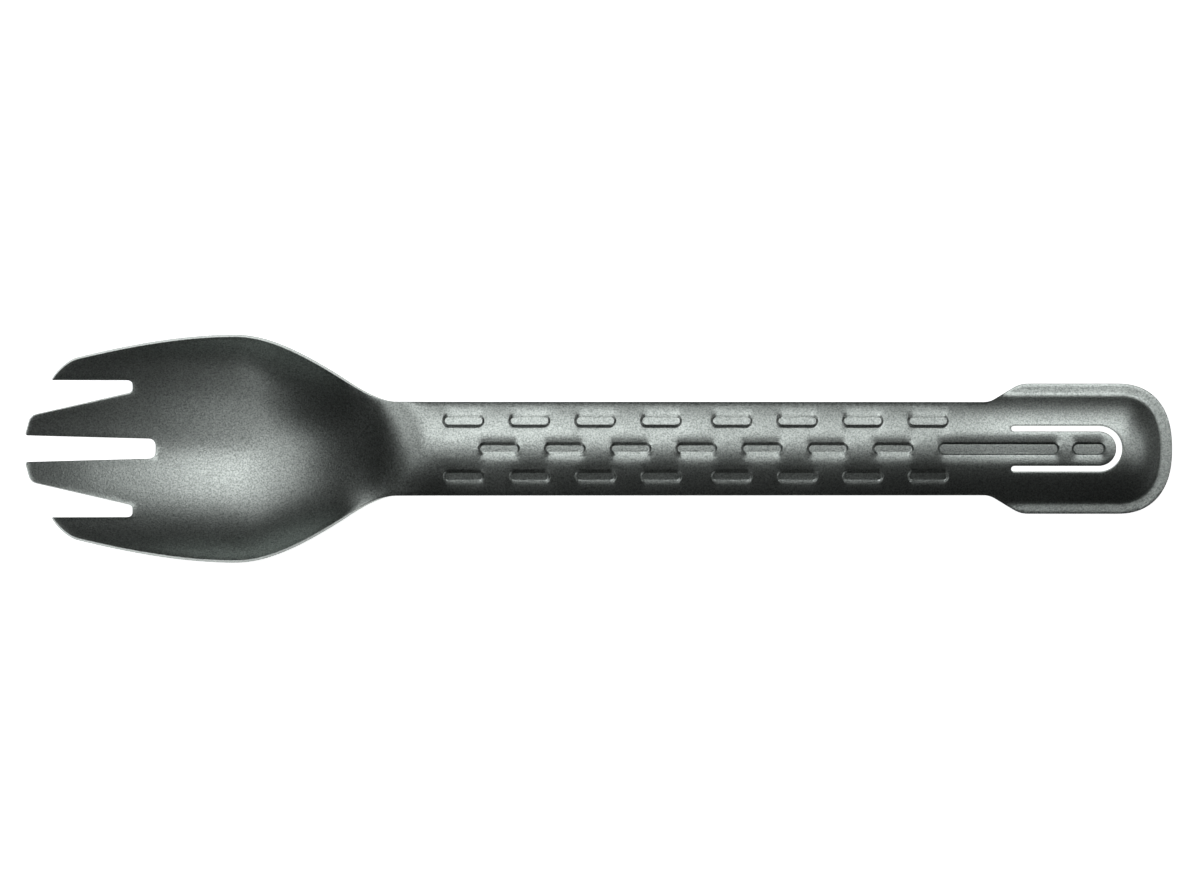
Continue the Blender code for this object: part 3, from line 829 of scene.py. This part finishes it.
# Each panel: its name, its ranges along X and Y and its height in metres, and its brightness.
PANELS = [
    ("main soft box, near half", (-0.27, 0.45), (0.08, 0.50), 1.4, 3.3),
    ("main soft box, far half", (-0.27, 0.45), (0.50, 1.08), 1.4, 2.25),
    ("panel above the bowl", (-0.200, -0.095), (-0.050, 0.238), 0.20, 1.28),
    ("panel behind the bowl", (-0.230, -0.080), (0.093, 0.230), 0.20, 0.7),
    ("panel behind the neck", (-0.080, -0.030), (0.100, 0.205), 0.20, 0.75),
    ("panel before the bowl", (-0.140, -0.045), (-0.170, -0.020), 0.20, 0.85),
    ("low panel before the bowl", (-0.134, -0.075), (-0.257, -0.120), 0.12, 0.8),
    ("panel past the tail", (0.145, 0.24), (-0.004, 0.026), 0.15, 2.0),
]
for panel in PANELS:
    soft_box(*panel)
# The card stands upright, and the last panel leans towards the tail.
card = soft_box("white card behind the bowl", (-0.12, 0.0), (0.046, 0.054), 0.004, 4.0)
card.rotation_euler.x = math.radians(-90)
side = soft_box("low panel at the tail's side", (0.75, 1.05), (-0.9, 0.9), 0.28, 0.16)
side.rotation_euler.y = math.radians(75)
print(f"{len(PANELS)} level panels, a card and a side panel")

# %% [markdown]
# ## Flags
#
# A photographer hangs sheets of black felt, called flags, where a shiny object would look flat. The
# metal shows them as soft dark zones at the neck, past the bowl and on one side of the tail. The
# rest of the room is dim, so the metal goes dark wherever it turns away from the light.

# %% Hang the flags and dim the room
ROOM_LEVEL = 0.018
# Black felt gives the eye nothing: it only takes light away.
felt = bpy.data.materials.new("black felt")
felt.use_nodes = True
felt.node_tree.nodes["Principled BSDF"].inputs["Base Color"].default_value = linear("1a1a1a")
neck_flag = [
    (-0.063, -0.070), (-0.031, -0.070), (-0.031, -0.008),
    (-0.048, -0.008), (-0.048, 0.002), (-0.063, 0.002),
]
FLAGS = [
    ("flag over the neck", 0.04, neck_flag),
    ("flag past the bowl", 0.10, rectangle((-0.054, -0.040), (0.004, 0.060))),
    ("flag over the tail", 0.10, rectangle((0.071, 0.105), (0.002, 0.014))),
]
for name, height, corners in FLAGS:
    flag = level_sheet(name, height, corners, felt)
    flag.visible_camera = False
world = bpy.data.worlds.new("dim room")
bpy.context.scene.world = world
world.use_nodes = True
room = world.node_tree.nodes["Background"]
room.inputs["Color"].default_value = (ROOM_LEVEL, ROOM_LEVEL, ROOM_LEVEL, 1)
room.inputs["Strength"].default_value = 1.0
print(f"{len(FLAGS)} flags, a room at {ROOM_LEVEL}")

# %% [markdown]
# ## Camera
#
# The photograph looks straight down at the fork with a long lens, tines to the left. The fork lies
# a hair below the middle of the picture, so the camera stands that much behind it.

# %% Place the camera
scene = bpy.context.scene
scene.view_settings.view_transform = "Standard"
lens = bpy.data.cameras.new("camera")
lens.lens = 250
FRAME_WIDTH, FRAME_LEVEL, BEHIND = 217.6 * MM, 5 * MM, 0.12 * MM
camera = bpy.data.objects.new("camera", lens)
camera.location = (0, BEHIND, FRAME_WIDTH * lens.lens / lens.sensor_width + FRAME_LEVEL)
scene.collection.objects.link(camera)
scene.camera = camera
print(f"camera {camera.location.z:.2f} m above the fork")
